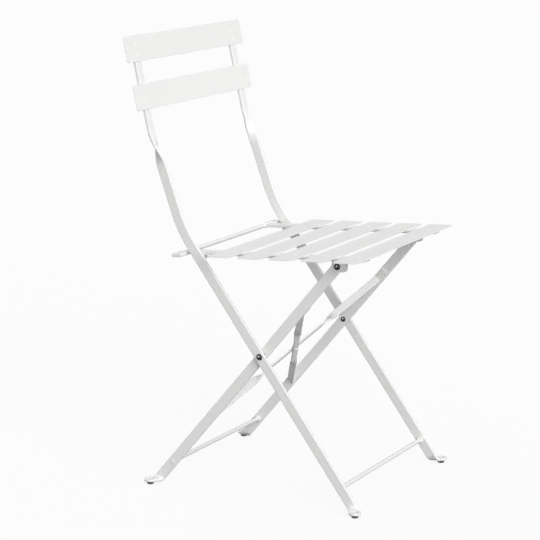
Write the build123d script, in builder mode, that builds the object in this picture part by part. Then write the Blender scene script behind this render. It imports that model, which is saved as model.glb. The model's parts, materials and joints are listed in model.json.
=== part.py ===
from build123d import *
from math import atan2, cos, pi, radians, sin, tan
import os

os.makedirs("parts", exist_ok=True)

# Sizes in millimetres and degrees. The chair faces -Y, stands on Z = 0 and is alike left and right of X = 0.

# Flat bar of all four legs
bar_width = 19.0
bar_thickness = 6.0
bar_edge_radius = 2.0

# Scissor pivot and the slope of the two pairs of legs from the floor
pivot_y = -25.45
pivot_z = 264.0
front_rake = 53.9
rear_rake = 49.9
long_leg_x = 176.5
leg_gap = 3.0

# Bends of the long leg above the seat, measured along the leg
first_bend_from_pivot = 266.5
first_bend_radius = 220.0
middle_lean = 19.5
twist_start = 112.5
twist_length = 66.0
second_bend_from_first = 183.7
second_bend_radius = 80.0
upright_lean = 12.6
upright_length = 164.0

# Feet, folded outwards into a level tab over a glide
fold_radius = 8.0
glide_height = 5.5
glide_radius = 6.3
glide_edge = 1.8
glide_reach = 8.5
pad_radius = 11.5
pad_thickness = 5.0
dish_radius = 7.6
dish_floor_radius = 3.8
dish_depth = 1.8
glide_rivet_depth = 3.0
glide_rivet_head_radius = 3.2
glide_rivet_head_height = 1.1

# Round rods across the frames
rod_radius = 4.0
front_rod_below_pivot = 271.4
rear_rod_below_pivot = 286.7
rod_end_show = 1.0

# Back slats
back_slat_length = 428.0
back_slat_width = 46.5
back_slat_corner = 6.0
upper_slat_up = 149.2
lower_slat_up = 62.8
upper_rivet_spacing = 17.4
upper_rivet_drop = 4.3
lower_rivet_drop = 3.4

# Seat slats and rails
slat_thickness = 1.5
slat_edge = 0.4
seat_pivot_up = 228.8
seat_tilt = 2.63
seat_rise = 14.9
seat_slat_length = 420.0
seat_slat_width = 47.0
seat_slat_corner = 5.0
seat_slat_pitch = 61.6
middle_slat_back = 89.3
rail_x = 151.5
rail_width = 25.0
rail_thickness = 5.0
rail_front_recess = 7.0
rail_front_corner = 4.0

# Rear bar with flattened ends behind the long legs
rear_bar_back = 305.7
rear_bar_flat_width = 19.0
rear_bar_flat_thickness = 6.6
rear_bar_flat_corner = 1.6
rear_bar_reach = 195.0
rear_bar_shoulder = 4.0
rear_bar_end_edge = 0.8

# Pivot brackets under the rails
bracket_thickness = 3.0
bracket_front = 16.5
bracket_rear = 13.0
bracket_below = 10.5
bracket_corner = 8.0

# Brace strips between the short legs
brace_width = 14.0
brace_thickness = 3.0
brace_edge_radius = 0.8
brace_cross_below = 31.1
brace_rake = 49.5
brace_rise = 144.0
brace_flat_half = 68.0
brace_twist_length = 46.0
brace_bend_radius = 8.0
brace_tab_length = 17.0

# Pivots, stop pins and rivets
pivot_shank_radius = 3.0
pivot_head_radius = 6.0
pivot_head_height = 3.6
pivot_tail_radius = 5.0
pivot_tail_height = 2.6
washer_radius = 7.5
stop_pin_radius = 4.0
stop_pin_end_x = 154.0
stop_pin_edge = 1.0
rivet_shank_radius = 2.0
rivet_head_radius = 3.6
rivet_head_height = 1.4
rivet_tail_radius = 3.2
rivet_tail_height = 1.1
brace_rivet_radius = 4.2
brace_rivet_height = 1.8

# Clearances
running_fit = 0.05
side_play = 0.2
tail_play = 0.3
bracket_play = 0.5
stop_play = 0.2
glide_gap = 0.3

# Directions of the bars in side view
out = Vector(1, 0, 0)
front_up = Vector(0, cos(radians(front_rake)), sin(radians(front_rake)))
rear_up = Vector(0, -cos(radians(rear_rake)), sin(radians(rear_rake)))
middle_up = Vector(0, sin(radians(middle_lean)), cos(radians(middle_lean)))
upright_up = Vector(0, sin(radians(upright_lean)), cos(radians(upright_lean)))
seat_back = Vector(0, cos(radians(seat_tilt)), -sin(radians(seat_tilt)))
seat_up = Vector(0, sin(radians(seat_tilt)), cos(radians(seat_tilt)))


def forward(direction):
    """Direction square to a bar in side view, towards the front of the chair for a bar that leans back."""
    return Vector(0, -direction.Z, direction.Y)


# Derived places
pivot = Vector(0, pivot_y, pivot_z)
short_leg_x = long_leg_x - bar_thickness - leg_gap
long_inner_x = long_leg_x - bar_thickness / 2
long_outer_x = long_leg_x + bar_thickness / 2
short_inner_x = short_leg_x - bar_thickness / 2
short_outer_x = short_leg_x + bar_thickness / 2
tab_z = glide_height + pad_thickness / 2
fold_z = tab_z + fold_radius
seat_pivot = pivot + rear_up * seat_pivot_up
slat_bottom = seat_rise - slat_thickness
rail_bottom = slat_bottom - rail_thickness
slat_places = [middle_slat_back + (2 - i) * seat_slat_pitch for i in range(5)]
seat_plane = Plane(origin=seat_pivot, x_dir=(1, 0, 0), z_dir=seat_up)
first_corner = pivot + front_up * first_bend_from_pivot
second_corner = first_corner + middle_up * second_bend_from_first
first_turn = 90 - front_rake - middle_lean
second_turn = middle_lean - upright_lean
first_tangent = first_bend_radius * tan(radians(first_turn / 2))
second_tangent = second_bend_radius * tan(radians(second_turn / 2))
upright_front = forward(upright_up)


def eased(share):
    """Share of a twist reached after a share of its length: slow at both ends."""
    return share * share * (3 - 2 * share)


def cap_middle(radius, height):
    """Point half way along the side of a round cap, between its rim and its top on the axis."""
    sphere = (radius**2 + height**2) / (2 * height)
    turn = atan2(height, radius)
    return (sphere * sin(turn), height - sphere + sphere * cos(turn))


def fold_planes(leg_x, rake, way, steps):
    """Section planes of a bar end that folds outwards about a level line; way is -1 for the front feet."""
    slope = radians(rake)
    heel_y = pivot_y + way * (pivot_z - fold_z) / tan(slope)
    planes = []
    for i in range(steps + 1):
        turn = pi / 2 * i / steps
        run = Vector(sin(turn), 0, -cos(turn))
        along = Vector(0, way * cos(slope), 0) + run * sin(slope)
        across = Vector(0, sin(slope), 0) - run * (way * cos(slope))
        centre = Vector(
            leg_x + fold_radius * (1 - cos(turn)),
            heel_y + way * fold_radius * turn / tan(slope),
            tab_z + fold_radius * (1 - sin(turn)),
        )
        planes.append(Plane(origin=centre, x_dir=across, z_dir=along))
    return planes


front_fold = fold_planes(long_leg_x, front_rake, -1, 6)
rear_fold = fold_planes(short_leg_x, rear_rake, 1, 6)
front_glide = front_fold[-1].origin + front_fold[-1].z_dir * glide_reach
rear_glide = rear_fold[-1].origin + rear_fold[-1].z_dir * glide_reach
front_tab_end = Plane(origin=front_glide, x_dir=front_fold[-1].x_dir, z_dir=front_fold[-1].z_dir)
rear_tab_end = Plane(origin=rear_glide, x_dir=rear_fold[-1].x_dir, z_dir=rear_fold[-1].z_dir)
front_glide_floor = Vector(front_glide.X, front_glide.Y, 0)
rear_glide_floor = Vector(rear_glide.X, rear_glide.Y, 0)
tab_top_z = tab_z + pad_thickness / 2

# Places of the rivets on the uprights, on the front face of the bar
upright_face = second_corner + upright_front * (bar_thickness / 2)
upper_middle = upright_face + upright_up * upper_slat_up
lower_middle = upright_face + upright_up * lower_slat_up
back_rivet_spots = [
    upper_middle + upright_up * (upper_rivet_spacing / 2 - upper_rivet_drop),
    upper_middle - upright_up * (upper_rivet_spacing / 2 + upper_rivet_drop),
    lower_middle - upright_up * lower_rivet_drop,
]

# Long leg on the left: folded foot, straight run, edgewise bend, twist, flat bend, upright
straight_start = front_fold[0].origin
bend_start = first_corner - front_up * first_tangent + out * long_leg_x
bend_end = first_corner + middle_up * first_tangent + out * long_leg_x
bend_centre = bend_start + forward(front_up) * first_bend_radius
twist_from = first_corner + middle_up * twist_start + out * long_leg_x
twist_to = twist_from + middle_up * twist_length
flat_bend_start = second_corner - middle_up * second_tangent + out * long_leg_x
flat_bend_end = second_corner + upright_up * second_tangent + out * long_leg_x
flat_bend_centre = flat_bend_start + forward(middle_up) * second_bend_radius

with BuildPart() as back_leg_left:
    for plane in front_fold:
        with BuildSketch(plane):
            RectangleRounded(bar_width, bar_thickness, bar_edge_radius)
    loft()
    with BuildSketch(front_fold[-1]):
        RectangleRounded(bar_width, bar_thickness, bar_edge_radius)
    extrude(amount=glide_reach - glide_radius - glide_gap)
    with BuildSketch(front_tab_end) as pad_half:
        Rectangle(pad_radius, pad_thickness, align=(Align.MIN, Align.CENTER))
        fillet(pad_half.vertices().group_by(Axis.X)[-1], bar_edge_radius)
    revolve(axis=Axis(front_glide, (0, 0, 1)))
    with BuildSketch(Plane(origin=straight_start, x_dir=forward(front_up), z_dir=front_up)):
        RectangleRounded(bar_width, bar_thickness, bar_edge_radius)
    extrude(amount=(bend_start - straight_start).length)
    with BuildSketch(Plane(origin=bend_start, x_dir=forward(front_up), z_dir=front_up)):
        RectangleRounded(bar_width, bar_thickness, bar_edge_radius)
    revolve(axis=Axis(bend_centre, (1, 0, 0)), revolution_arc=first_turn)
    with BuildSketch(Plane(origin=bend_end, x_dir=forward(middle_up), z_dir=middle_up)):
        RectangleRounded(bar_width, bar_thickness, bar_edge_radius)
    extrude(amount=(twist_from - bend_end).length)
    for i in range(13):
        turn = pi / 2 * eased(i / 12)
        across = forward(middle_up) * cos(turn) + out * sin(turn)
        centre = twist_from + middle_up * (twist_length * i / 12)
        with BuildSketch(Plane(origin=centre, x_dir=across, z_dir=middle_up)):
            RectangleRounded(bar_width, bar_thickness, bar_edge_radius)
    loft()
    with BuildSketch(Plane(origin=twist_to, x_dir=out, z_dir=middle_up)):
        RectangleRounded(bar_width, bar_thickness, bar_edge_radius)
    extrude(amount=(flat_bend_start - twist_to).length)
    with BuildSketch(Plane(origin=flat_bend_start, x_dir=out, z_dir=middle_up)):
        RectangleRounded(bar_width, bar_thickness, bar_edge_radius)
    revolve(axis=Axis(flat_bend_centre, (1, 0, 0)), revolution_arc=second_turn)
    with BuildSketch(Plane(origin=flat_bend_end, x_dir=out, z_dir=upright_up)):
        RectangleRounded(bar_width, bar_thickness, bar_edge_radius)
    extrude(amount=upright_length - second_tangent)
    with Locations((long_leg_x, pivot_y, pivot_z)):
        Cylinder(pivot_shank_radius, 2 * bar_thickness, rotation=(0, 90, 0), mode=Mode.SUBTRACT)
    with Locations((front_glide.X, front_glide.Y, tab_z)):
        Cylinder(rivet_shank_radius, 2 * bar_thickness, mode=Mode.SUBTRACT)
    with Locations((front_glide.X, front_glide.Y, tab_top_z - dish_depth)):
        Cone(
            dish_floor_radius,
            dish_radius,
            dish_depth,
            align=(Align.CENTER, Align.CENTER, Align.MIN),
            mode=Mode.SUBTRACT,
        )
    with Locations([Plane(origin=spot + out * long_leg_x, z_dir=upright_front) for spot in back_rivet_spots]):
        Cylinder(rivet_shank_radius, 4 * bar_thickness, mode=Mode.SUBTRACT)
back_leg_left.part.label = "back_leg_left"
export_step(back_leg_left.part, "parts/back_leg_left.step")

with BuildPart() as back_leg_right:
    mirror(back_leg_left.part, about=Plane.YZ)
back_leg_right.part.label = "back_leg_right"
export_step(back_leg_right.part, "parts/back_leg_right.step")

# Short leg on the left: folded foot, straight run, rounded top at the seat pivot
rear_start = rear_fold[0].origin
seat_pivot_left = seat_pivot + out * short_leg_x
rear_rod_centre = pivot - rear_up * rear_rod_below_pivot

with BuildPart() as rear_leg_left:
    for plane in rear_fold:
        with BuildSketch(plane):
            RectangleRounded(bar_width, bar_thickness, bar_edge_radius)
    loft()
    with BuildSketch(rear_fold[-1]):
        RectangleRounded(bar_width, bar_thickness, bar_edge_radius)
    extrude(amount=glide_reach - glide_radius - glide_gap)
    with BuildSketch(rear_tab_end) as rear_pad_half:
        Rectangle(pad_radius, pad_thickness, align=(Align.MIN, Align.CENTER))
        fillet(rear_pad_half.vertices().group_by(Axis.X)[-1], bar_edge_radius)
    revolve(axis=Axis(rear_glide, (0, 0, 1)))
    with BuildSketch(Plane(origin=rear_start, x_dir=forward(rear_up), z_dir=rear_up)):
        RectangleRounded(bar_width, bar_thickness, bar_edge_radius)
    extrude(amount=(seat_pivot_left - rear_start).length)
    with BuildSketch(Plane(origin=seat_pivot_left, x_dir=forward(rear_up), z_dir=rear_up)) as top_half:
        Rectangle(bar_width / 2, bar_thickness, align=(Align.MIN, Align.CENTER))
        fillet(top_half.vertices().group_by(Axis.X)[-1], bar_edge_radius)
    revolve(axis=Axis(seat_pivot_left, (1, 0, 0)), revolution_arc=-180)
    with Locations((short_leg_x, pivot_y, pivot_z)):
        Cylinder(pivot_shank_radius + running_fit, 2 * bar_thickness, rotation=(0, 90, 0), mode=Mode.SUBTRACT)
    with Locations(seat_pivot_left):
        Cylinder(pivot_shank_radius, 2 * bar_thickness, rotation=(0, 90, 0), mode=Mode.SUBTRACT)
    with Locations(rear_rod_centre + out * short_leg_x):
        Cylinder(rod_radius, 2 * bar_thickness, rotation=(0, 90, 0), mode=Mode.SUBTRACT)
    with Locations((rear_glide.X, rear_glide.Y, tab_z)):
        Cylinder(rivet_shank_radius, 2 * bar_thickness, mode=Mode.SUBTRACT)
    with Locations((rear_glide.X, rear_glide.Y, tab_top_z - dish_depth)):
        Cone(
            dish_floor_radius,
            dish_radius,
            dish_depth,
            align=(Align.CENTER, Align.CENTER, Align.MIN),
            mode=Mode.SUBTRACT,
        )
rear_leg_left.part.label = "rear_leg_left"
export_step(rear_leg_left.part, "parts/rear_leg_left.step")

with BuildPart() as rear_leg_right:
    mirror(rear_leg_left.part, about=Plane.YZ)
rear_leg_right.part.label = "rear_leg_right"
export_step(rear_leg_right.part, "parts/rear_leg_right.step")

# Glides: a disc on the floor with a rounded edge and a socket for its rivet
dish_floor_z = tab_top_z - dish_depth
with BuildPart() as glide:
    with BuildSketch(Plane.XY):
        Circle(glide_radius)
    extrude(amount=glide_height)
    fillet(glide.edges().filter_by(GeomType.CIRCLE).sort_by(Axis.Z)[0], glide_edge)
    with Locations((0, 0, glide_height)):
        Cylinder(rivet_shank_radius, 2 * glide_rivet_depth, mode=Mode.SUBTRACT)

# Glide rivets: a shank from the socket up through the tab and a domed head in the dish
with BuildPart() as glide_rivet:
    with BuildSketch(Plane.XZ):
        with BuildLine():
            button = ThreePointArc(
                (glide_rivet_head_radius, 0),
                cap_middle(glide_rivet_head_radius, glide_rivet_head_height),
                (0, glide_rivet_head_height),
            )
            rivet_length = dish_floor_z - glide_height + glide_rivet_depth
            Polyline(
                button @ 1,
                (0, -rivet_length),
                (rivet_shank_radius, -rivet_length),
                (rivet_shank_radius, 0),
                button @ 0,
            )
        make_face()
    revolve(axis=Axis.Z)

with BuildPart() as front_glide_rivets:
    with Locations((front_glide.X, front_glide.Y, dish_floor_z), (-front_glide.X, front_glide.Y, dish_floor_z)):
        add(glide_rivet.part)
front_glide_rivets.part.label = "front_glide_rivets"
export_step(front_glide_rivets.part, "parts/front_glide_rivets.step")

with BuildPart() as rear_glide_rivets:
    with Locations((rear_glide.X, rear_glide.Y, dish_floor_z), (-rear_glide.X, rear_glide.Y, dish_floor_z)):
        add(glide_rivet.part)
rear_glide_rivets.part.label = "rear_glide_rivets"
export_step(rear_glide_rivets.part, "parts/rear_glide_rivets.step")

with BuildPart() as front_glide_left:
    with Locations(front_glide_floor):
        add(glide.part)
front_glide_left.part.label = "front_glide_left"
export_step(front_glide_left.part, "parts/front_glide_left.step")

with BuildPart() as front_glide_right:
    mirror(front_glide_left.part, about=Plane.YZ)
front_glide_right.part.label = "front_glide_right"
export_step(front_glide_right.part, "parts/front_glide_right.step")

with BuildPart() as rear_glide_left:
    with Locations(rear_glide_floor):
        add(glide.part)
rear_glide_left.part.label = "rear_glide_left"
export_step(rear_glide_left.part, "parts/rear_glide_left.step")

with BuildPart() as rear_glide_right:
    mirror(rear_glide_left.part, about=Plane.YZ)
rear_glide_right.part.label = "rear_glide_right"
export_step(rear_glide_right.part, "parts/rear_glide_right.step")

# Cross rods: the front one ends on the long legs, the rear one runs through the short legs
with BuildPart() as front_cross_rod:
    with Locations(pivot - front_up * front_rod_below_pivot):
        Cylinder(rod_radius, 2 * long_inner_x, rotation=(0, 90, 0))
front_cross_rod.part.label = "front_cross_rod"
export_step(front_cross_rod.part, "parts/front_cross_rod.step")

with BuildPart() as rear_cross_rod:
    with Locations(rear_rod_centre):
        Cylinder(rod_radius, 2 * (short_outer_x + rod_end_show), rotation=(0, 90, 0))
    fillet(rear_cross_rod.edges().filter_by(GeomType.CIRCLE), rod_end_show * 0.8)
rear_cross_rod.part.label = "rear_cross_rod"
export_step(rear_cross_rod.part, "parts/rear_cross_rod.step")

# Back slats, riveted to the front of the uprights
with BuildPart() as upper_back_slat:
    with BuildSketch(Plane(origin=upper_middle, x_dir=(1, 0, 0), z_dir=upright_front)):
        RectangleRounded(back_slat_length, back_slat_width, back_slat_corner)
        with Locations((0, -upper_rivet_drop)):
            with GridLocations(2 * long_leg_x, upper_rivet_spacing, 2, 2):
                Circle(rivet_shank_radius, mode=Mode.SUBTRACT)
    extrude(amount=slat_thickness)
    upper_face = upper_back_slat.faces().sort_by(Axis((0, 0, 0), upright_front))[-1]
    fillet(upper_face.outer_wire().edges(), slat_edge)
upper_back_slat.part.label = "upper_back_slat"
export_step(upper_back_slat.part, "parts/upper_back_slat.step")

with BuildPart() as lower_back_slat:
    with BuildSketch(Plane(origin=lower_middle, x_dir=(1, 0, 0), z_dir=upright_front)):
        RectangleRounded(back_slat_length, back_slat_width, back_slat_corner)
        with Locations((-long_leg_x, -lower_rivet_drop), (long_leg_x, -lower_rivet_drop)):
            Circle(rivet_shank_radius, mode=Mode.SUBTRACT)
    extrude(amount=slat_thickness)
    lower_face = lower_back_slat.faces().sort_by(Axis((0, 0, 0), upright_front))[-1]
    fillet(lower_face.outer_wire().edges(), slat_edge)
lower_back_slat.part.label = "lower_back_slat"
export_step(lower_back_slat.part, "parts/lower_back_slat.step")

# Rivets: a low dome on the slat, a shank through slat and bar, a flat tail behind
with BuildPart() as back_rivet:
    with BuildSketch(Plane.XZ):
        with BuildLine():
            shank_end = -slat_thickness - bar_thickness
            head = ThreePointArc(
                (rivet_head_radius, 0),
                cap_middle(rivet_head_radius, rivet_head_height),
                (0, rivet_head_height),
            )
            Polyline(
                head @ 1,
                (0, shank_end - rivet_tail_height),
                (rivet_tail_radius, shank_end - rivet_tail_height),
                (rivet_tail_radius, shank_end),
                (rivet_shank_radius, shank_end),
                (rivet_shank_radius, 0),
                head @ 0,
            )
        make_face()
    revolve(axis=Axis.Z)

back_rivet_planes = []
for spot in back_rivet_spots:
    for side in (-1, 1):
        seat_of_head = spot + upright_front * slat_thickness + out * (side * long_leg_x)
        back_rivet_planes.append(Plane(origin=seat_of_head, z_dir=upright_front))

with BuildPart() as back_slat_rivets:
    with Locations(back_rivet_planes):
        add(back_rivet.part)
back_slat_rivets.part.label = "back_slat_rivets"
export_step(back_slat_rivets.part, "parts/back_slat_rivets.step")

# Scissor pivots: a domed rivet through both legs with a spacer washer between them
pivot_shank = 2 * bar_thickness + leg_gap + tail_play
tail_middle = cap_middle(pivot_tail_radius, pivot_tail_height)
with BuildPart() as leg_pivot_left:
    with BuildSketch(Plane.XZ):
        with BuildLine():
            dome = ThreePointArc(
                (pivot_head_radius, 0),
                cap_middle(pivot_head_radius, pivot_head_height),
                (0, pivot_head_height),
            )
            tail = ThreePointArc(
                (0, -pivot_shank - pivot_tail_height),
                (tail_middle[0], -pivot_shank - tail_middle[1]),
                (pivot_tail_radius, -pivot_shank),
            )
            Line(dome @ 1, tail @ 0)
            Polyline(tail @ 1, (pivot_shank_radius, -pivot_shank), (pivot_shank_radius, 0), dome @ 0)
        make_face()
    revolve(axis=Axis.Z)

with BuildPart() as leg_pivot_rivet_left:
    with Locations(Plane(origin=(long_outer_x, pivot_y, pivot_z), z_dir=(1, 0, 0))):
        add(leg_pivot_left.part)
leg_pivot_rivet_left.part.label = "leg_pivot_rivet_left"
export_step(leg_pivot_rivet_left.part, "parts/leg_pivot_rivet_left.step")

with BuildPart() as leg_pivot_rivet_right:
    mirror(leg_pivot_rivet_left.part, about=Plane.YZ)
leg_pivot_rivet_right.part.label = "leg_pivot_rivet_right"
export_step(leg_pivot_rivet_right.part, "parts/leg_pivot_rivet_right.step")

with BuildPart() as pivot_washers:
    for side in (-1, 1):
        with BuildSketch(Plane(origin=(side * long_inner_x, pivot_y, pivot_z), z_dir=(-side, 0, 0))):
            Circle(washer_radius)
            Circle(pivot_shank_radius, mode=Mode.SUBTRACT)
        extrude(amount=leg_gap - side_play)
pivot_washers.part.label = "pivot_washers"
export_step(pivot_washers.part, "parts/pivot_washers.step")

# Stop pins on the long legs, which carry the seat rails when the chair is open
stop_level = rail_bottom - stop_pin_radius - stop_play
stop_up = (stop_level - (pivot - seat_pivot).dot(seat_up)) / front_up.dot(seat_up)
stop_centre = pivot + front_up * stop_up
with BuildPart() as stop_pin_left:
    with BuildSketch(Plane(origin=stop_centre + out * long_inner_x, z_dir=(-1, 0, 0))):
        Circle(stop_pin_radius)
    extrude(amount=long_inner_x - stop_pin_end_x)
    fillet(stop_pin_left.edges().filter_by(GeomType.CIRCLE).sort_by(Axis.X)[0], stop_pin_edge)
stop_pin_left.part.label = "stop_pin_left"
export_step(stop_pin_left.part, "parts/stop_pin_left.step")

with BuildPart() as stop_pin_right:
    mirror(stop_pin_left.part, about=Plane.YZ)
stop_pin_right.part.label = "stop_pin_right"
export_step(stop_pin_right.part, "parts/stop_pin_right.step")

# Brace strips: flat where they cross, twisted a quarter turn and bent flat onto the inner faces of the legs
brace_up = Vector(0, -cos(radians(brace_rake)), sin(radians(brace_rake)))
brace_front = Vector(0, -brace_up.Z, brace_up.Y)
brace_tab_x = short_inner_x - brace_thickness / 2
brace_length = (brace_tab_x**2 + brace_rise**2) ** 0.5
brace_along = out * (brace_tab_x / brace_length) + brace_up * (brace_rise / brace_length)
brace_across = brace_up * (brace_tab_x / brace_length) - out * (brace_rise / brace_length)
brace_middle = pivot - rear_up * brace_cross_below
brace_bend_turn = brace_along.get_angle(brace_up)
brace_tangent = brace_bend_radius * tan(radians(brace_bend_turn / 2))
brace_twist_end = brace_flat_half + brace_twist_length

with BuildPart() as brace_a:
    middle_a = brace_middle - brace_front * (brace_thickness / 2)
    with BuildSketch(Plane(origin=middle_a, x_dir=brace_across, z_dir=brace_along)):
        RectangleRounded(brace_width, brace_thickness, brace_edge_radius)
    extrude(amount=brace_flat_half, both=True)
    for way in (-1, 1):
        along = brace_along * way
        for i in range(9):
            turn = pi / 2 * eased(i / 8)
            across = brace_across * cos(turn) + brace_front * sin(turn)
            centre = middle_a + along * (brace_flat_half + brace_twist_length * i / 8)
            with BuildSketch(Plane(origin=centre, x_dir=across, z_dir=along)):
                RectangleRounded(brace_width, brace_thickness, brace_edge_radius)
        loft()
        bend_from = middle_a + along * (brace_length - brace_tangent)
        with BuildSketch(Plane(origin=middle_a + along * brace_twist_end, x_dir=brace_front, z_dir=along)):
            RectangleRounded(brace_width, brace_thickness, brace_edge_radius)
        extrude(amount=brace_length - brace_tangent - brace_twist_end)
        with BuildSketch(Plane(origin=bend_from, x_dir=brace_front, z_dir=along)):
            RectangleRounded(brace_width, brace_thickness, brace_edge_radius)
        bend_about = bend_from + brace_across * (way * brace_bend_radius)
        revolve(axis=Axis(bend_about, out.cross(brace_up)), revolution_arc=brace_bend_turn)
        tab_from = middle_a + along * brace_length + brace_up * (way * brace_tangent)
        with BuildSketch(Plane(origin=tab_from, x_dir=brace_front, z_dir=brace_up * way)):
            RectangleRounded(brace_width, brace_thickness, brace_edge_radius)
        extrude(amount=brace_tab_length)
    with Locations(Plane(origin=middle_a, z_dir=brace_front)):
        Cylinder(rivet_shank_radius, 4 * brace_thickness, mode=Mode.SUBTRACT)
brace_a.part.label = "brace_a"
export_step(brace_a.part, "parts/brace_a.step")

with BuildPart() as brace_b:
    with Locations(brace_front * brace_thickness):
        add(mirror(brace_a.part, about=Plane.YZ, mode=Mode.PRIVATE))
brace_b.part.label = "brace_b"
export_step(brace_b.part, "parts/brace_b.step")

with BuildPart() as brace_rivet:
    with BuildSketch(Plane(origin=brace_middle, x_dir=(1, 0, 0), z_dir=brace_front)):
        Circle(rivet_shank_radius)
    extrude(amount=brace_thickness, both=True)
    for way in (-1, 1):
        face_centre = brace_middle + brace_front * (way * brace_thickness)
        with BuildSketch(Plane(origin=face_centre, x_dir=(1, 0, 0), z_dir=brace_front * way)):
            Circle(brace_rivet_radius)
        extrude(amount=brace_rivet_height, taper=30)
brace_rivet.part.label = "brace_rivet"
export_step(brace_rivet.part, "parts/brace_rivet.step")

# Seat slats, counted from the rear
with BuildPart() as seat_slat_1:
    with BuildSketch(seat_plane.offset(slat_bottom)):
        with Locations((0, slat_places[0])):
            RectangleRounded(seat_slat_length, seat_slat_width, seat_slat_corner)
        with Locations((-rail_x, slat_places[0]), (rail_x, slat_places[0])):
            Circle(rivet_shank_radius, mode=Mode.SUBTRACT)
    extrude(amount=slat_thickness)
    slat_top = seat_slat_1.faces().sort_by(Axis((0, 0, 0), seat_up))[-1]
    fillet(slat_top.outer_wire().edges(), slat_edge)
seat_slat_1.part.label = "seat_slat_1"
export_step(seat_slat_1.part, "parts/seat_slat_1.step")

with BuildPart() as seat_slat_2:
    with Locations(seat_back * -seat_slat_pitch):
        add(seat_slat_1.part)
seat_slat_2.part.label = "seat_slat_2"
export_step(seat_slat_2.part, "parts/seat_slat_2.step")

with BuildPart() as seat_slat_3:
    with Locations(seat_back * (-2 * seat_slat_pitch)):
        add(seat_slat_1.part)
seat_slat_3.part.label = "seat_slat_3"
export_step(seat_slat_3.part, "parts/seat_slat_3.step")

with BuildPart() as seat_slat_4:
    with Locations(seat_back * (-3 * seat_slat_pitch)):
        add(seat_slat_1.part)
seat_slat_4.part.label = "seat_slat_4"
export_step(seat_slat_4.part, "parts/seat_slat_4.step")

with BuildPart() as seat_slat_5:
    with Locations(seat_back * (-4 * seat_slat_pitch)):
        add(seat_slat_1.part)
seat_slat_5.part.label = "seat_slat_5"
export_step(seat_slat_5.part, "parts/seat_slat_5.step")

# Rear bar: a round rod across the rail ends with flattened ends behind the long legs
rear_bar_level = rail_bottom + rail_thickness / 2
rear_bar_centre = seat_pivot + seat_back * rear_bar_back + seat_up * rear_bar_level
shoulder_from = rail_x + rail_width / 2 + 1.0
rod_corner = 0.98 * rod_radius
with BuildPart() as rear_bar:
    with BuildSketch(Plane(origin=rear_bar_centre, x_dir=seat_back, z_dir=(1, 0, 0))):
        Circle(rod_radius)
    extrude(amount=shoulder_from, both=True)
    for side in (-1, 1):
        for i in range(5):
            share = (1 - cos(pi * i / 4)) / 2
            flat_width = 2 * rod_radius + (rear_bar_flat_width - 2 * rod_radius) * share
            flat_thickness = 2 * rod_radius + (rear_bar_flat_thickness - 2 * rod_radius) * share
            flat_corner = rod_corner + (rear_bar_flat_corner - rod_corner) * share
            centre = rear_bar_centre + out * (side * (shoulder_from + rear_bar_shoulder * i / 4))
            with BuildSketch(Plane(origin=centre, x_dir=seat_back, z_dir=(side, 0, 0))):
                RectangleRounded(flat_width, flat_thickness, flat_corner)
        loft()
        flat_from = rear_bar_centre + out * (side * (shoulder_from + rear_bar_shoulder))
        with BuildSketch(Plane(origin=flat_from, x_dir=seat_back, z_dir=(side, 0, 0))):
            RectangleRounded(rear_bar_flat_width, rear_bar_flat_thickness, rear_bar_flat_corner)
        extrude(amount=rear_bar_reach - shoulder_from - rear_bar_shoulder)
    fillet(rear_bar.edges().group_by(Axis.X)[0], rear_bar_end_edge)
    fillet(rear_bar.edges().group_by(Axis.X)[-1], rear_bar_end_edge)
rear_bar.part.label = "rear_bar"
export_step(rear_bar.part, "parts/rear_bar.step")

# Seat rails under the slats, hollowed at the rear for the bar
rail_front = slat_places[4] - seat_slat_width / 2 + rail_front_recess
with BuildPart() as seat_rail_left:
    with BuildSketch(seat_plane.offset(rail_bottom)) as rail_outline:
        with Locations((rail_x, rail_front)):
            Rectangle(rail_width, rear_bar_back - rail_front, align=(Align.CENTER, Align.MIN))
        fillet(rail_outline.vertices().group_by(Axis.Y)[0], rail_front_corner)
        with Locations([(rail_x, place) for place in slat_places]):
            Circle(rivet_shank_radius, mode=Mode.SUBTRACT)
    extrude(amount=rail_thickness)
    with Locations(rear_bar_centre):
        Cylinder(rod_radius, 4 * rail_x, rotation=(0, 90, 0), mode=Mode.SUBTRACT)
seat_rail_left.part.label = "seat_rail_left"
export_step(seat_rail_left.part, "parts/seat_rail_left.step")

with BuildPart() as seat_rail_right:
    mirror(seat_rail_left.part, about=Plane.YZ)
seat_rail_right.part.label = "seat_rail_right"
export_step(seat_rail_right.part, "parts/seat_rail_right.step")

with BuildPart() as seat_rivet:
    with BuildSketch(Plane.XZ):
        with BuildLine():
            rail_end = -slat_thickness - rail_thickness
            cap = ThreePointArc(
                (rivet_head_radius, 0),
                cap_middle(rivet_head_radius, rivet_head_height),
                (0, rivet_head_height),
            )
            Polyline(
                cap @ 1,
                (0, rail_end - rivet_tail_height),
                (rivet_tail_radius, rail_end - rivet_tail_height),
                (rivet_tail_radius, rail_end),
                (rivet_shank_radius, rail_end),
                (rivet_shank_radius, 0),
                cap @ 0,
            )
        make_face()
    revolve(axis=Axis.Z)

seat_rivet_planes = []
for place in slat_places:
    for side in (-1, 1):
        seat_of_head = seat_pivot + seat_back * place + seat_up * seat_rise + out * (side * rail_x)
        seat_rivet_planes.append(Plane(origin=seat_of_head, x_dir=(1, 0, 0), z_dir=seat_up))

with BuildPart() as seat_rivets:
    with Locations(seat_rivet_planes):
        add(seat_rivet.part)
seat_rivets.part.label = "seat_rivets"
export_step(seat_rivets.part, "parts/seat_rivets.step")

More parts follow.
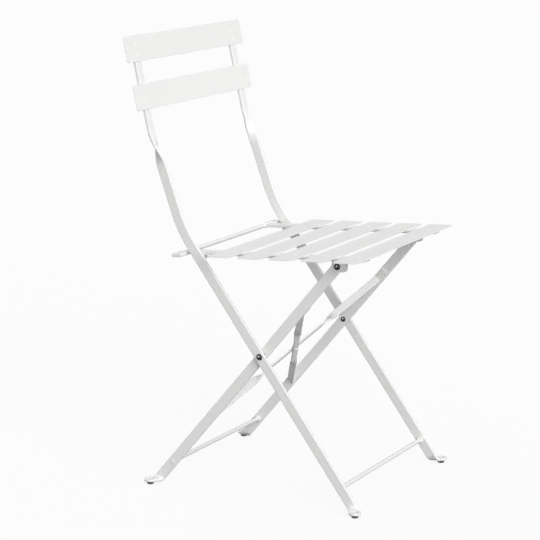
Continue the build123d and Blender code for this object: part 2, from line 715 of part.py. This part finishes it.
# Pivot brackets that hang from the rails beside the short legs
bracket_outer_x = short_inner_x - bracket_play
bracket_inner_x = bracket_outer_x - bracket_thickness
bracket_plane = Plane(origin=seat_pivot + out * bracket_inner_x, x_dir=seat_back, z_dir=(1, 0, 0))
with BuildPart() as pivot_bracket_left:
    with BuildSketch(bracket_plane) as tab:
        with Locations((-bracket_front, -bracket_below)):
            Rectangle(bracket_front + bracket_rear, rail_bottom + bracket_below, align=(Align.MIN, Align.MIN))
        fillet(tab.vertices().group_by(Axis.Y)[0], bracket_corner)
        Circle(pivot_shank_radius + running_fit, mode=Mode.SUBTRACT)
    extrude(amount=bracket_thickness)
pivot_bracket_left.part.label = "pivot_bracket_left"
export_step(pivot_bracket_left.part, "parts/pivot_bracket_left.step")

with BuildPart() as pivot_bracket_right:
    mirror(pivot_bracket_left.part, about=Plane.YZ)
pivot_bracket_right.part.label = "pivot_bracket_right"
export_step(pivot_bracket_right.part, "parts/pivot_bracket_right.step")

# Seat pivots: a domed rivet through each short leg and bracket
seat_shank = bar_thickness + bracket_play + bracket_thickness + tail_play
with BuildPart() as seat_pivot_body:
    with BuildSketch(Plane.XZ):
        with BuildLine():
            crown = ThreePointArc(
                (pivot_head_radius, 0),
                cap_middle(pivot_head_radius, pivot_head_height),
                (0, pivot_head_height),
            )
            foot = ThreePointArc(
                (0, -seat_shank - pivot_tail_height),
                (tail_middle[0], -seat_shank - tail_middle[1]),
                (pivot_tail_radius, -seat_shank),
            )
            Line(crown @ 1, foot @ 0)
            Polyline(foot @ 1, (pivot_shank_radius, -seat_shank), (pivot_shank_radius, 0), crown @ 0)
        make_face()
    revolve(axis=Axis.Z)

with BuildPart() as seat_pivot_rivet_left:
    with Locations(Plane(origin=seat_pivot + out * short_outer_x, z_dir=(1, 0, 0))):
        add(seat_pivot_body.part)
seat_pivot_rivet_left.part.label = "seat_pivot_rivet_left"
export_step(seat_pivot_rivet_left.part, "parts/seat_pivot_rivet_left.step")

with BuildPart() as seat_pivot_rivet_right:
    mirror(seat_pivot_rivet_left.part, about=Plane.YZ)
seat_pivot_rivet_right.part.label = "seat_pivot_rivet_right"
export_step(seat_pivot_rivet_right.part, "parts/seat_pivot_rivet_right.step")
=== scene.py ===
"""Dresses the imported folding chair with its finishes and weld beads, and sets it in a plain white studio."""

import json
import math

import bmesh
import bpy
from bpy.props import FloatProperty, FloatVectorProperty, IntProperty, PointerProperty, StringProperty
from mathutils import Matrix, Vector


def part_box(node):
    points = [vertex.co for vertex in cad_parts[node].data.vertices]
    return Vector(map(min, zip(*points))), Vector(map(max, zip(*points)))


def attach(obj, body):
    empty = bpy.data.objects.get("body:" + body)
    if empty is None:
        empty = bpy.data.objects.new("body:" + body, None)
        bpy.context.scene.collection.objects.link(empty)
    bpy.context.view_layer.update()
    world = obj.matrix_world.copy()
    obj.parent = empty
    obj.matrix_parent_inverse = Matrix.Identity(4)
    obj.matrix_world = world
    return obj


bl_info = {
    "name": "Slatted Folding Chair",
    "version": (1, 0, 0),
    "blender": (4, 5, 0),
    "location": "3D View > Sidebar > Chair",
    "description": "Finishes a slatted metal folding chair and lights it in a white studio",
    "category": "Add Mesh",
}

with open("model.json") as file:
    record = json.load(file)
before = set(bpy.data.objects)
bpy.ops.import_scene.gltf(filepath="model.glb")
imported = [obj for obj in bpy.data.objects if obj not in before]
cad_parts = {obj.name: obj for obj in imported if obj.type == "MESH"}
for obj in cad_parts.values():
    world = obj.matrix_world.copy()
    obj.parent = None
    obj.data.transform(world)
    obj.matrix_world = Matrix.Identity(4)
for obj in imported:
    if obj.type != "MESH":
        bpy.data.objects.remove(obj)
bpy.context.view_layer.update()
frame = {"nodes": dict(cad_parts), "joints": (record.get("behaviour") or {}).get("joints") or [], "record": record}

MM = 0.001
SIDES = (-1, 1)
WHITE = "#FFFFFF"
JOINTS = {joint["name"]: joint for joint in frame["joints"]}
LEG_PIVOT = Vector(JOINTS["leg_fold"]["pos_m"])
SEAT_PIVOT = Vector(JOINTS["seat_fold"]["pos_m"])
SLOT_NODES = {}
for entry in frame["record"]["subparts"]:
    SLOT_NODES.setdefault(entry["material_slot"], []).append(entry["node"])

# Painted highlight on each pivot: how far it lies before and above the axis, its full core and its faded rim
HIGHLIGHT_FORWARD = 0.3 * MM
HIGHLIGHT_UP = 1.9 * MM
HIGHLIGHT_CORE = 0.4 * MM
HIGHLIGHT_RIM = 2.3 * MM

# Rings of corners along one ripple of a bead, and the width of a straight bead's ends as a share of the rest
RIPPLE_STEPS = 4
END_SHARE = 0.6
# Corners this near to a brace's outermost face belong to its end tab
TAB_DEPTH = 0.1 * MM

# Camera's sensor in millimetres, and how far it sees in metres
SENSOR_WIDTH = 36.0
FARTHEST = 200.0


class ChairFinishes(bpy.types.PropertyGroup):
    """Colours of the chair's finishes."""

    coat_white: StringProperty(
        name="Powder coat", description="Colour of the powder coat", default="#F2F2F1"
    )
    coat_shade: StringProperty(
        name="Powder coat, thin", description="Colour where the coat is thinner", default="#EEEEED"
    )
    # Painted highlight: the bright colour painted on each pivot's crown in place of the light's reflection
    steel_highlight: StringProperty(
        name="Pivot steel", description="Colour of the pivots where they are rubbed bright", default="#D8D8DA"
    )
    steel_dull: StringProperty(
        name="Pivot steel, dull", description="Colour of the pivots where they are still black",
        default="#333335"
    )
    glide_black: StringProperty(
        name="Glide", description="Colour of the moulded glides", default="#414143"
    )
    glide_scuffed: StringProperty(
        name="Glide, scuffed", description="Colour of the glides where the floor has rubbed them",
        default="#545457"
    )


class ChairWelds(bpy.types.PropertyGroup):
    """Sizes of the weld beads."""

    bead_radius: FloatProperty(
        name="Bead radius", description="Half the width of a weld bead", default=1.6 * MM, unit="LENGTH"
    )
    tack_radius: FloatProperty(
        name="Tack radius", description="Half the width of the small beads on the braces",
        default=0.8 * MM, unit="LENGTH"
    )
    ripple_pitch: FloatProperty(
        name="Ripple pitch", description="Spacing of the ripples along a bead",
        default=1.5 * MM, unit="LENGTH"
    )
    ripple_depth: FloatProperty(
        name="Ripple depth", description="Ripple height as a share of the bead radius",
        default=0.14, subtype="FACTOR"
    )
    bead_sides: IntProperty(
        name="Bead sides", description="Faces round a bead", default=10
    )


class ChairStudio(bpy.types.PropertyGroup):
    """Camera and light of the studio."""

    azimuth: FloatProperty(
        name="Azimuth", description="Camera's turn round the chair",
        default=math.radians(-62.494), subtype="ANGLE"
    )
    elevation: FloatProperty(
        name="Elevation", description="Camera's height above the horizon",
        default=math.radians(11.417), subtype="ANGLE"
    )
    distance: FloatProperty(
        name="Distance", description="Camera's distance from its aim", default=3.9, unit="LENGTH"
    )
    aim: FloatVectorProperty(
        name="Aim", description="Point at the middle of the picture",
        default=(-0.0644, 0.0128, 0.3973), subtype="TRANSLATION"
    )
    lens: FloatProperty(
        name="Lens", description="Focal length on a 36 mm sensor, in millimetres",
        default=143.5, unit="CAMERA"
    )
    key_from: FloatVectorProperty(
        name="Key from", description="Direction that the key light comes from",
        default=(-0.569, -0.718, 0.26), subtype="DIRECTION"
    )
    key_strength: FloatProperty(
        name="Key strength", description="Strength of the key light", default=2.7
    )
    key_angle: FloatProperty(
        name="Key angle", description="Apparent size of the key light",
        default=math.radians(56), subtype="ANGLE"
    )
    fill_from: FloatVectorProperty(
        name="Fill from", description="Direction that the fill light comes from",
        default=(0.42, 0.9, 0.04), subtype="DIRECTION"
    )
    fill_strength: FloatProperty(
        name="Fill strength", description="Strength of the fill light", default=1.7
    )
    fill_angle: FloatProperty(
        name="Fill angle", description="Apparent size of the fill light",
        default=math.radians(26), subtype="ANGLE"
    )
    sky_strength: FloatProperty(
        name="Sky strength", description="Even light from all round", default=0.54
    )
    floor_seen: StringProperty(
        name="Floor", description="Colour of the floor as it is seen", default=WHITE
    )
    floor_bounce: StringProperty(
        name="Floor bounce", description="Colour of the light that the floor gives back", default="#5E5E5E"
    )
    floor_glow: FloatProperty(
        name="Floor glow",
        description="Share of the seen floor that is plain white, which keeps its shadows light",
        default=0.85, subtype="FACTOR"
    )
    floor_half: FloatProperty(
        name="Floor half width", description="Half the width of the floor", default=40.0, unit="LENGTH"
    )


def linear(hex_colour):
    """An sRGB hex colour as linear red, green, blue and a full alpha."""
    channels = [int(hex_colour[i:i + 2], 16) / 255 for i in (1, 3, 5)]
    return [c / 12.92 if c <= 0.04045 else ((c + 0.055) / 1.055) ** 2.4 for c in channels] + [1.0]


def add_node(tree, kind, settings=None, inputs=None):
    """Adds a node, sets its properties, and sets its inputs to values or links them to other nodes' outputs."""
    node = tree.nodes.new(kind)
    for name, value in (settings or {}).items():
        setattr(node, name, value)
    for name, value in (inputs or {}).items():
        if isinstance(value, bpy.types.NodeSocket):
            tree.links.new(value, node.inputs[name])
        else:
            node.inputs[name].default_value = value
    return node


def noise(tree, place, width, detail):
    """A cloudy pattern from 0 to 1, with clouds of about a given width."""
    inputs = {"Vector": place, "Scale": 1 / width, "Detail": detail}
    return add_node(tree, "ShaderNodeTexNoise", inputs=inputs).outputs["Fac"]


def ranged(tree, pattern, low, high):
    """A pattern from 0 to 1, stretched to run from a low to a high value."""
    inputs = {"Value": pattern, "To Min": low, "To Max": high}
    return add_node(tree, "ShaderNodeMapRange", inputs=inputs).outputs["Result"]


def mixed(tree, share, plain, other):
    """A colour that goes from one hex colour to another as a share goes from 0 to 1."""
    inputs = {"Factor": share, "A": linear(plain), "B": linear(other)}
    return add_node(tree, "ShaderNodeMix", {"data_type": "RGBA"}, inputs).outputs["Result"]


def embossed(tree, pattern, strength, depth):
    """The surface's normal, tilted by a pattern."""
    inputs = {"Height": pattern, "Strength": strength, "Distance": depth}
    return add_node(tree, "ShaderNodeBump", inputs=inputs).outputs["Normal"]


def calculated(tree, operation, first, second):
    """The result of one arithmetic operation on two values."""
    return add_node(tree, "ShaderNodeMath", {"operation": operation}, {0: first, 1: second}).outputs["Value"]


def new_material(name):
    """An empty node material and its tree."""
    material = bpy.data.materials.new(name)
    material.use_nodes = True
    material.node_tree.nodes.clear()
    return material, material.node_tree


def cover(tree, inputs):
    """Gives a material's tree its surface and its output."""
    skin = add_node(tree, "ShaderNodeBsdfPrincipled", inputs=inputs)
    add_node(tree, "ShaderNodeOutputMaterial", inputs={"Surface": skin.outputs["BSDF"]})


def powder_coat(name):
    """Satin polyester powder coat on steel: an even white skin with a slight orange peel and soft highlights."""
    finishes = bpy.context.scene.chair_finishes
    material, tree = new_material(name)
    place = add_node(tree, "ShaderNodeTexCoord").outputs["Object"]
    # Film thickness drifts over hand widths, and shows as a barely darker white
    drift = noise(tree, place, width=90 * MM, detail=3.0)
    # Gloss varies a little where hands and cloths have rubbed
    rub = noise(tree, place, width=35 * MM, detail=4.0)
    # Orange peel is about 1.5 mm across: it is drawn at 2.5 mm so that it shows
    peel = noise(tree, place, width=2.5 * MM, detail=1.5)
    cover(tree, {
        "Base Color": mixed(tree, drift, finishes.coat_white, finishes.coat_shade),
        "Roughness": ranged(tree, rub, low=0.36, high=0.5),
        "Normal": embossed(tree, peel, strength=0.05, depth=0.1 * MM),
        "IOR": 1.5,
        "Specular IOR Level": 0.3,
    })
    return material


def pivot_steel(name):
    """Blackened steel: near black with a soft sheen, with a painted highlight on the crown of each pivot."""
    finishes = bpy.context.scene.chair_finishes
    material, tree = new_material(name)
    place = add_node(tree, "ShaderNodeTexCoord").outputs["Object"]
    # Painted highlight: a small bright spot on each crown, a little above the pivot's axis, in place of the
    # light's reflection
    aside = add_node(tree, "ShaderNodeVectorMath", {"operation": "MULTIPLY"}, {0: place, 1: (0, 1, 1)})
    reach = []
    for pivot in (LEG_PIVOT, SEAT_PIVOT):
        spot = (0, pivot.y - HIGHLIGHT_FORWARD, pivot.z + HIGHLIGHT_UP)
        inputs = {0: aside.outputs["Vector"], 1: spot}
        reach.append(add_node(tree, "ShaderNodeVectorMath", {"operation": "DISTANCE"}, inputs).outputs["Value"])
    painted_highlight = add_node(
        tree, "ShaderNodeMapRange",
        inputs={
            "Value": calculated(tree, "MINIMUM", *reach),
            "From Min": HIGHLIGHT_CORE, "From Max": HIGHLIGHT_RIM, "To Min": 1.0, "To Max": 0.0,
        },
    )
    # Handling leaves patches of sheen a few millimetres wide
    patches = noise(tree, place, width=5 * MM, detail=4.0)
    # Turning marks are under 0.2 mm apart: they are drawn at 0.8 mm so that they show
    marks = noise(tree, place, width=0.8 * MM, detail=2.0)
    # The base colour carries the painted highlight on each pivot's crown
    cover(tree, {
        "Base Color": mixed(tree, painted_highlight.outputs["Result"], finishes.steel_dull, finishes.steel_highlight),
        "Metallic": 1.0,
        "Roughness": ranged(tree, patches, low=0.1, high=0.24),
        "Normal": embossed(tree, marks, strength=0.15, depth=0.05 * MM),
    })
    return material


def glide_plastic(name):
    """Moulded black polyethylene: a fine matt grain, paler where the floor has scuffed it."""
    finishes = bpy.context.scene.chair_finishes
    material, tree = new_material(name)
    place = add_node(tree, "ShaderNodeTexCoord").outputs["Object"]
    scuffs = noise(tree, place, width=4 * MM, detail=5.0)
    # Mould grain is about 0.3 mm: it is drawn at 0.7 mm so that it shows
    grain = add_node(tree, "ShaderNodeTexVoronoi", inputs={"Vector": place, "Scale": 1 / (0.7 * MM)})
    cover(tree, {
        "Base Color": mixed(tree, scuffs, finishes.glide_black, finishes.glide_scuffed),
        "Roughness": ranged(tree, scuffs, low=0.32, high=0.48),
        "Normal": embossed(tree, grain.outputs["Distance"], strength=0.25, depth=0.05 * MM),
        "IOR": 1.51,
    })
    return material


FINISHES = {
    "white_powder_coat": ("satin_white_powder_coat", powder_coat),
    "pivot_steel": ("blackened_pivot_steel", pivot_steel),
    "glide_plastic": ("moulded_black_polyethylene", glide_plastic),
}


def finish_of(slot):
    """The material of one of the record's slots, made once."""
    name, make = FINISHES[slot]
    return bpy.data.materials.get(name) or make(name)


def add_piece(bm, name, body, slot):
    """Turns a bmesh into a shown piece that rides on a body with a slot's finish."""
    bmesh.ops.recalc_face_normals(bm, faces=bm.faces)
    mesh = bpy.data.meshes.new(name)
    bm.to_mesh(mesh)
    bm.free()
    mesh.shade_smooth()
    piece = bpy.data.objects.new(name, mesh)
    bpy.context.scene.collection.objects.link(piece)
    mesh.materials.append(finish_of(slot))
    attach(piece, body)


def corners(node):
    """Mesh corners of a carried-over node."""
    return [vert.co for vert in frame["nodes"][node].data.vertices]


def span(points, along):
    """Lowest and highest place of some points along a direction."""
    places = [point.dot(along) for point in points]
    return min(places), max(places)


def middle_of(node):
    """Middle of a node's box."""
    low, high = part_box(node)
    return (low + high) / 2


def rod_radius(node):
    """Radius of a round rod or pin that lies from left to right."""
    low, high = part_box(node)
    return (high.z - low.z) / 2


def facing(centre, axis):
    """Matrix that takes +Z to an axis and the origin to a centre."""
    return Matrix.Translation(centre) @ Vector(axis).to_track_quat("Z", "Y").to_matrix().to_4x4()


def ring_bead(bm, centre, axis, radius):
    """A rippled weld bead round a rod, at the face that the rod ends on."""
    welds = bpy.context.scene.chair_welds
    start = Matrix.Translation((radius, 0, 0)) @ Matrix.Rotation(math.pi / 2, 4, "X")
    circle = bmesh.ops.create_circle(
        bm, segments=welds.bead_sides, radius=welds.bead_radius, matrix=start
    )["verts"]
    loop = list(dict.fromkeys(edge for vert in circle for edge in vert.link_edges))
    ripples = round(2 * math.pi * radius / welds.ripple_pitch)
    bmesh.ops.spin(
        bm, geom=circle + loop, cent=(0, 0, 0), axis=(0, 0, 1), angle=2 * math.pi,
        steps=RIPPLE_STEPS * ripples, use_merge=True,
    )
    # The beads that are already in their places carry a tag
    verts = [vert for vert in bm.verts if not vert.tag]
    for vert in verts:
        turn = math.atan2(vert.co.y, vert.co.x)
        heart = Vector((radius * math.cos(turn), radius * math.sin(turn), 0))
        swell = 1 + welds.ripple_depth * math.sin(ripples * turn)
        vert.co = heart + (vert.co - heart) * swell
        vert.tag = True
    bmesh.ops.transform(bm, matrix=facing(centre, axis), verts=verts)


def line_bead(bm, start, end, radius):
    """A rippled weld bead along a straight seam, with closed ends."""
    welds = bpy.context.scene.chair_welds
    along = end - start
    steps = RIPPLE_STEPS * max(1, round(along.length / welds.ripple_pitch))
    circle = bmesh.ops.create_circle(
        bm, cap_ends=True, segments=welds.bead_sides, radius=radius * END_SHARE, matrix=facing(start, along)
    )
    face = circle["verts"][0].link_faces[0]
    for i in range(1, steps + 1):
        grown = bmesh.ops.extrude_face_region(bm, geom=[face])["geom"]
        # The first face stays as the start cap, and later ones would be walls inside the bead
        if i > 1:
            bmesh.ops.delete(bm, geom=[face], context="FACES_ONLY")
        verts = [item for item in grown if isinstance(item, bmesh.types.BMVert)]
        face = next(item for item in grown if isinstance(item, bmesh.types.BMFace))
        centre = start + along * (i / steps)
        share = END_SHARE if i == steps else 1.0
        size = radius * share * (1 + welds.ripple_depth * math.sin(2 * math.pi * i / RIPPLE_STEPS))
        middle = sum((vert.co for vert in verts), Vector()) / len(verts)
        for vert in verts:
            vert.co = centre + (vert.co - middle).normalized() * size


class CHAIR_OT_finishes(bpy.types.Operator):
    """Give every carried-over node of the chair its finish"""

    bl_idname = "chair.finishes"
    bl_label = "Finish Frame, Slats and Fasteners"

    def execute(self, context):
        for slot, nodes in SLOT_NODES.items():
            for node in nodes:
                mesh = frame["nodes"][node].data
                mesh.materials.clear()
                mesh.materials.append(finish_of(slot))
        return {"FINISHED"}


class CHAIR_OT_rod_welds(bpy.types.Operator):
    """Weld the cross rods and the stop pins to the legs"""

    bl_idname = "chair.rod_welds"
    bl_label = "Weld Rods and Stop Pins"

    def execute(self, context):
        for node, leg, body in (
            ("front_cross_rod", "back_leg_left", "back_frame"),
            ("rear_cross_rod", "rear_leg_left", "rear_leg_frame"),
        ):
            middle = middle_of(node)
            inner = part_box(leg)[0].x
            bm = bmesh.new()
            for side in SIDES:
                ring_bead(bm, (side * inner, middle.y, middle.z), (side, 0, 0), rod_radius(node))
            add_piece(bm, node + "_welds", body, "white_powder_coat")
        bm = bmesh.new()
        for node, side in (("stop_pin_left", 1), ("stop_pin_right", -1)):
            low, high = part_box(node)
            middle = middle_of(node)
            face = high.x if side > 0 else low.x
            ring_bead(bm, (face, middle.y, middle.z), (side, 0, 0), rod_radius(node))
        add_piece(bm, "stop_pin_welds", "back_frame", "white_powder_coat")
        return {"FINISHED"}


class CHAIR_OT_seat_welds(bpy.types.Operator):
    """Weld the rear bar and the pivot brackets to the seat rails"""

    bl_idname = "chair.seat_welds"
    bl_label = "Weld Seat Rails"

    def execute(self, context):
        radius = context.scene.chair_welds.bead_radius
        back = (middle_of("seat_slat_1") - middle_of("seat_slat_5")).normalized()
        up = Vector((1, 0, 0)).cross(back)
        rail_low, rail_high = span(corners("seat_rail_left"), up)
        # The rear bar is as thick as the front rod, and its seams lie where it meets the rails' two faces
        half_rail = (rail_high - rail_low) / 2
        seam_depth = math.sqrt(rod_radius("front_cross_rod") ** 2 - half_rail ** 2)
        seam_back = middle_of("rear_bar").dot(back) - seam_depth
        low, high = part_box("seat_rail_left")
        bm = bmesh.new()
        for side in SIDES:
            for level in (rail_low, rail_high):
                seam = back * seam_back + up * level
                inner = Vector((side * (low.x + radius), 0, 0))
                outer = Vector((side * (high.x - radius), 0, 0))
                line_bead(bm, seam + inner, seam + outer, radius)
        add_piece(bm, "rear_bar_welds", "seat", "white_powder_coat")
        bracket_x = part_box("pivot_bracket_left")[0].x
        start, end = span(corners("pivot_bracket_left"), back)
        inset = 2 * radius
        bm = bmesh.new()
        for side in SIDES:
            seam = Vector((side * bracket_x, 0, 0)) + up * rail_low
            line_bead(bm, seam + back * (start + inset), seam + back * (end - inset), radius)
        add_piece(bm, "bracket_welds", "seat", "white_powder_coat")
        return {"FINISHED"}


class CHAIR_OT_brace_welds(bpy.types.Operator):
    """Weld the end tabs of the braces to the rear legs"""

    bl_idname = "chair.brace_welds"
    bl_label = "Weld Braces"

    def execute(self, context):
        welds = context.scene.chair_welds
        inset = 2 * welds.bead_radius
        up = (SEAT_PIVOT - LEG_PIVOT).normalized()
        front = Vector((0, -up.z, up.y))
        for node in ("brace_a", "brace_b"):
            points = corners(node)
            bm = bmesh.new()
            for side in SIDES:
                out = Vector((side, 0, 0))
                reach = span(points, out)[1]
                tab = [point for point in points if point.dot(out) > reach - TAB_DEPTH]
                low, high = span(tab, up)
                # The bead is on the brace's tip: the top edge of its upper tab, and the bottom edge of its
                # lower one
                tip = high if low + high > sum(span(points, up)) else low
                seam = out * reach + up * tip
                start, end = span(tab, front)
                line_bead(bm, seam + front * (start + inset), seam + front * (end - inset), welds.tack_radius)
            add_piece(bm, node + "_welds", "rear_leg_frame", "white_powder_coat")
        return {"FINISHED"}


class CHAIR_OT_stage(bpy.types.Operator):
    """Add the white floor, the soft light and the camera"""

    bl_idname = "chair.stage"
    bl_label = "Set Studio"

    def execute(self, context):
        scene = context.scene
        studio = scene.chair_studio
        self.add_floor(scene, studio)
        self.add_sky(scene, studio)
        self.add_sun(scene, "key_light", studio.key_from, studio.key_strength, studio.key_angle)
        self.add_sun(scene, "fill_light", studio.fill_from, studio.fill_strength, studio.fill_angle)
        self.add_camera(scene, studio)
        scene.view_settings.view_transform = "Standard"
        return {"FINISHED"}

    @staticmethod
    def seen_directly(tree):
        """1 for a ray from the camera, a mirror or a window, and 0 for light that falls on the chair."""
        rays = add_node(tree, "ShaderNodeLightPath").outputs
        mirrored = calculated(tree, "MAXIMUM", rays["Is Glossy Ray"], rays["Is Transmission Ray"])
        return calculated(tree, "MAXIMUM", rays["Is Camera Ray"], mirrored)

    def add_floor(self, scene, studio):
        """A wide white floor that shows little of its shadows and gives little light back."""
        bm = bmesh.new()
        bmesh.ops.create_grid(bm, x_segments=1, y_segments=1, size=studio.floor_half)
        mesh = bpy.data.meshes.new("studio_floor")
        bm.to_mesh(mesh)
        bm.free()
        floor = bpy.data.objects.new("studio_floor", mesh)
        scene.collection.objects.link(floor)
        material, tree = new_material("matt_white_studio_floor")
        seen = self.seen_directly(tree)
        colour = mixed(tree, seen, studio.floor_bounce, studio.floor_seen)
        paint = add_node(tree, "ShaderNodeBsdfDiffuse", inputs={"Color": colour})
        glow = add_node(tree, "ShaderNodeEmission", inputs={"Color": linear(studio.floor_seen), "Strength": 1.0})
        share = calculated(tree, "MULTIPLY", seen, studio.floor_glow)
        blend = add_node(
            tree, "ShaderNodeMixShader",
            inputs={0: share, 1: paint.outputs["BSDF"], 2: glow.outputs["Emission"]},
        )
        add_node(tree, "ShaderNodeOutputMaterial", inputs={"Surface": blend.outputs["Shader"]})
        mesh.materials.append(material)

    def add_sky(self, scene, studio):
        """An even white light from all round, behind a plain white backdrop."""
        world = bpy.data.worlds.new("studio_sky")
        world.use_nodes = True
        tree = world.node_tree
        tree.nodes.clear()
        light, backdrop = (
            add_node(tree, "ShaderNodeBackground", inputs={"Color": linear(WHITE), "Strength": strength})
            for strength in (studio.sky_strength, 1.0)
        )
        sky = add_node(
            tree, "ShaderNodeMixShader",
            inputs={
                0: self.seen_directly(tree),
                1: light.outputs["Background"],
                2: backdrop.outputs["Background"],
            },
        )
        add_node(tree, "ShaderNodeOutputWorld", inputs={"Surface": sky.outputs["Shader"]})
        scene.world = world

    @staticmethod
    def add_sun(scene, name, comes_from, strength, angle):
        """A soft, even light from one direction."""
        lamp = bpy.data.lights.new(name, "SUN")
        lamp.energy = strength
        lamp.angle = angle
        sun = bpy.data.objects.new(name, lamp)
        sun.rotation_euler = Vector(comes_from).to_track_quat("Z", "Y").to_euler()
        scene.collection.objects.link(sun)

    @staticmethod
    def add_camera(scene, studio):
        """The camera where the photograph was taken from."""
        lens = bpy.data.cameras.new("photo_camera")
        lens.lens = studio.lens
        lens.sensor_width = SENSOR_WIDTH
        lens.clip_end = FARTHEST
        camera = bpy.data.objects.new("photo_camera", lens)
        level = math.cos(studio.elevation)
        back = Vector((
            math.sin(studio.azimuth) * level,
            -math.cos(studio.azimuth) * level,
            math.sin(studio.elevation),
        ))
        camera.location = Vector(studio.aim) + back * studio.distance
        camera.rotation_euler = back.to_track_quat("Z", "Y").to_euler()
        scene.collection.objects.link(camera)
        scene.camera = camera


class CHAIR_PT_build(bpy.types.Panel):
    """Lists the steps that dress the chair"""

    bl_idname = "CHAIR_PT_build"
    bl_label = "Folding Chair"
    bl_space_type = "VIEW_3D"
    bl_region_type = "UI"
    bl_category = "Chair"

    def draw(self, context):
        for operator in OPERATORS:
            self.layout.operator(operator.bl_idname)


OPERATORS = (
    CHAIR_OT_finishes,
    CHAIR_OT_rod_welds,
    CHAIR_OT_seat_welds,
    CHAIR_OT_brace_welds,
    CHAIR_OT_stage,
)
CLASSES = (ChairFinishes, ChairWelds, ChairStudio, *OPERATORS, CHAIR_PT_build)


def register():
    for cls in CLASSES:
        bpy.utils.register_class(cls)
    bpy.types.Scene.chair_finishes = PointerProperty(type=ChairFinishes)
    bpy.types.Scene.chair_welds = PointerProperty(type=ChairWelds)
    bpy.types.Scene.chair_studio = PointerProperty(type=ChairStudio)


def unregister():
    del bpy.types.Scene.chair_studio
    del bpy.types.Scene.chair_welds
    del bpy.types.Scene.chair_finishes
    for cls in reversed(CLASSES):
        bpy.utils.unregister_class(cls)


def main():
    register()
    bpy.ops.chair.finishes()
    bpy.ops.chair.rod_welds()
    bpy.ops.chair.seat_welds()
    bpy.ops.chair.brace_welds()
    bpy.ops.chair.stage()


if __name__ == "__main__":
    main()
